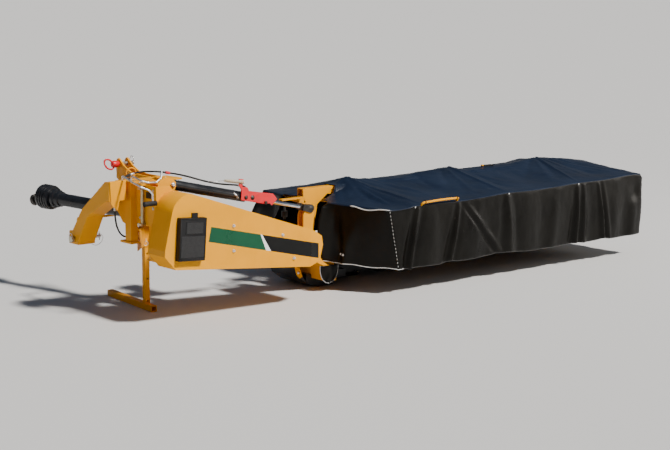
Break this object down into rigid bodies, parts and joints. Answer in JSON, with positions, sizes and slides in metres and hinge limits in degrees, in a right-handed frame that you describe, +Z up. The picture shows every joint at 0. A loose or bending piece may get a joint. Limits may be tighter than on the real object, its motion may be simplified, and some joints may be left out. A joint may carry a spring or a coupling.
{
  "type": "disc mower",
  "caption": "Rear-mounted disc mower parked on its stand, with folding cutterbar, cloth canopy, belt housing and driveline.",
  "frame": {"origin": "middle of the machine's footprint, on the floor it stands on", "axes": "+X outboard along the cutterbar, +Y forward to the tractor, +Z up"},
  "size_m": [4.8436, 2.0028, 1.03],
  "materials": {
    "yellow_paint": "gloss enamel",
    "red_paint": "gloss enamel",
    "black_paint": "satin enamel",
    "chrome_rod": "polished hard chrome",
    "zinc_steel": "zinc plated",
    "dark_steel": "worn dark steel",
    "cast_iron": "as cast",
    "black_plastic": "moulded, fine grain",
    "black_rubber": "matt",
    "canopy_vinyl": "coated cloth, soft gloss"
  },
  "bodies": {
    "headstock": {"hitch_arm_left": "yellow_paint", "hitch_arm_right": "yellow_paint", "hitch_beam": "yellow_paint", "mast_plates": "yellow_paint", "headstock_posts": "yellow_paint", "carrier_frame": "yellow_paint", "cylinder_bracket": "yellow_paint", "main_arm": "yellow_paint", "stand_sleeve": "yellow_paint", "driveline_hook": "yellow_paint", "shield_cover": "yellow_paint", "shield_back": "yellow_paint", "lower_link_pins": "zinc_steel", "top_link_pin": "zinc_steel", "pivot_rod": "zinc_steel", "storage_peg": "black_rubber", "drive_pulleys": "cast_iron", "input_guard": "black_plastic", "document_box": "black_plastic", "hose_guides": "zinc_steel", "hose_fittings": "dark_steel", "feed_hose": "black_rubber", "loop_hose": "black_rubber"},
    "cylinder_barrel": {"lift_hose": "black_rubber", "cylinder_barrel": "black_paint"},
    "stand": {"stand_leg": "yellow_paint"},
    "box_door": {"document_box_door": "black_plastic"},
    "driveline_guard": {"driveline_guard": "black_plastic", "driveline_bell": "black_plastic"},
    "driveline_shaft": {"driveline_shaft": "dark_steel"},
    "pto_yoke": {"tractor_yoke": "dark_steel"},
    "cylinder_rod": {"cylinder_rod": "chrome_rod"},
    "cylinder_lock": {"cylinder_lock": "red_paint"},
    "cutter_unit": {"lift_arm": "yellow_paint", "lift_lugs": "yellow_paint", "beam_post": "yellow_paint", "canopy_beam": "yellow_paint", "canopy_frame": "yellow_paint", "bar_gearbox": "yellow_paint", "cutterbar": "black_paint", "skid_shoes": "dark_steel", "inner_shoe": "black_paint", "rest_buffers": "black_rubber", "canopy_top": "canopy_vinyl", "canopy_rear_curtain": "canopy_vinyl", "canopy_front_curtain": "canopy_vinyl", "canopy_outer_curtain": "canopy_vinyl", "canopy_inner_curtain": "canopy_vinyl", "canopy_corner_curtain": "canopy_vinyl", "inner_flap": "canopy_vinyl"},
    "disc_1": {"disc_1": "dark_steel"},
    "disc_2": {"disc_2": "dark_steel"},
    "disc_3": {"disc_3": "dark_steel"},
    "disc_4": {"disc_4": "dark_steel"},
    "disc_5": {"disc_5": "dark_steel"},
    "disc_6": {"disc_6": "dark_steel"}
  },
  "joints": [
    {"name": "stand_height", "type": "slide", "parent": "headstock", "child": "stand", "axis": [0, 0, 1], "range_m": [0, 0.205]},
    {"name": "box_door_hinge", "type": "hinge", "parent": "headstock", "child": "box_door", "pos_m": [-2.0753, -0.89739, 0.45635], "axis": [0.9976, 0, -0.0698], "range_deg": [0, 95]},
    {"name": "driveline_swing", "type": "hinge", "parent": "headstock", "child": "driveline_guard", "pos_m": [-1.81825, -0.60639, 0.635], "axis": [0, 0, 1], "range_deg": [-11, 0]},
    {"name": "pto_spin", "type": "hinge", "parent": "driveline_guard", "child": "driveline_shaft", "pos_m": [-1.81825, -0.60639, 0.635], "axis": [-0.2227, 0.9741, 0.0401], "continuous": true},
    {"name": "yoke_tilt", "type": "hinge", "parent": "driveline_shaft", "child": "pto_yoke", "pos_m": [-2.15234, 0.85469, 0.6952], "axis": [0.9748, 0.2229, 0], "range_deg": [0, 30]},
    {"name": "cutter_lift", "type": "hinge", "parent": "headstock", "child": "cutter_unit", "pos_m": [-1.04825, -0.50139, 0.405], "axis": [0, -1, 0], "range_deg": [0, 90]},
    {"name": "cylinder_tilt", "type": "hinge", "parent": "headstock", "child": "cylinder_barrel", "pos_m": [-1.98625, -0.50139, 0.917], "axis": [0, 1, 0], "range_deg": [0, 5.03]},
    {"name": "rod_stroke", "type": "slide", "parent": "cylinder_barrel", "child": "cylinder_rod", "axis": [0.9748, 0, -0.2232], "range_m": [-0.51355, 0]},
    {"name": "lock_swing", "type": "hinge", "parent": "cylinder_barrel", "child": "cylinder_lock", "pos_m": [-1.36239, -0.54739, 0.77417], "axis": [0, -1, 0], "range_deg": [0, 40]},
    {"name": "disc_1_spin", "type": "hinge", "parent": "cutter_unit", "child": "disc_1", "pos_m": [-0.08825, -0.08139, 0.131], "axis": [0, 0, 1], "continuous": true},
    {"name": "disc_2_spin", "type": "hinge", "parent": "cutter_unit", "child": "disc_2", "pos_m": [0.30175, -0.08139, 0.131], "axis": [0, 0, 1], "continuous": true},
    {"name": "disc_3_spin", "type": "hinge", "parent": "cutter_unit", "child": "disc_3", "pos_m": [0.69175, -0.08139, 0.131], "axis": [0, 0, 1], "continuous": true},
    {"name": "disc_4_spin", "type": "hinge", "parent": "cutter_unit", "child": "disc_4", "pos_m": [1.08175, -0.08139, 0.131], "axis": [0, 0, 1], "continuous": true},
    {"name": "disc_5_spin", "type": "hinge", "parent": "cutter_unit", "child": "disc_5", "pos_m": [1.47175, -0.08139, 0.131], "axis": [0, 0, 1], "continuous": true},
    {"name": "disc_6_spin", "type": "hinge", "parent": "cutter_unit", "child": "disc_6", "pos_m": [1.86175, -0.08139, 0.131], "axis": [0, 0, 1], "continuous": true}
  ],
  "couplings": [
    {"joint": "cylinder_tilt", "follows": "cutter_lift", "ratio": 0.054764},
    {"joint": "rod_stroke", "follows": "cutter_lift", "m_per_rad": -0.32662},
    {"joint": "disc_2_spin", "follows": "disc_1_spin", "ratio": -1},
    {"joint": "disc_3_spin", "follows": "disc_1_spin", "ratio": 1},
    {"joint": "disc_4_spin", "follows": "disc_1_spin", "ratio": -1},
    {"joint": "disc_5_spin", "follows": "disc_1_spin", "ratio": 1},
    {"joint": "disc_6_spin", "follows": "disc_1_spin", "ratio": -1},
    {"joint": "pto_spin", "follows": "disc_1_spin", "ratio": 0.18}
  ]
}
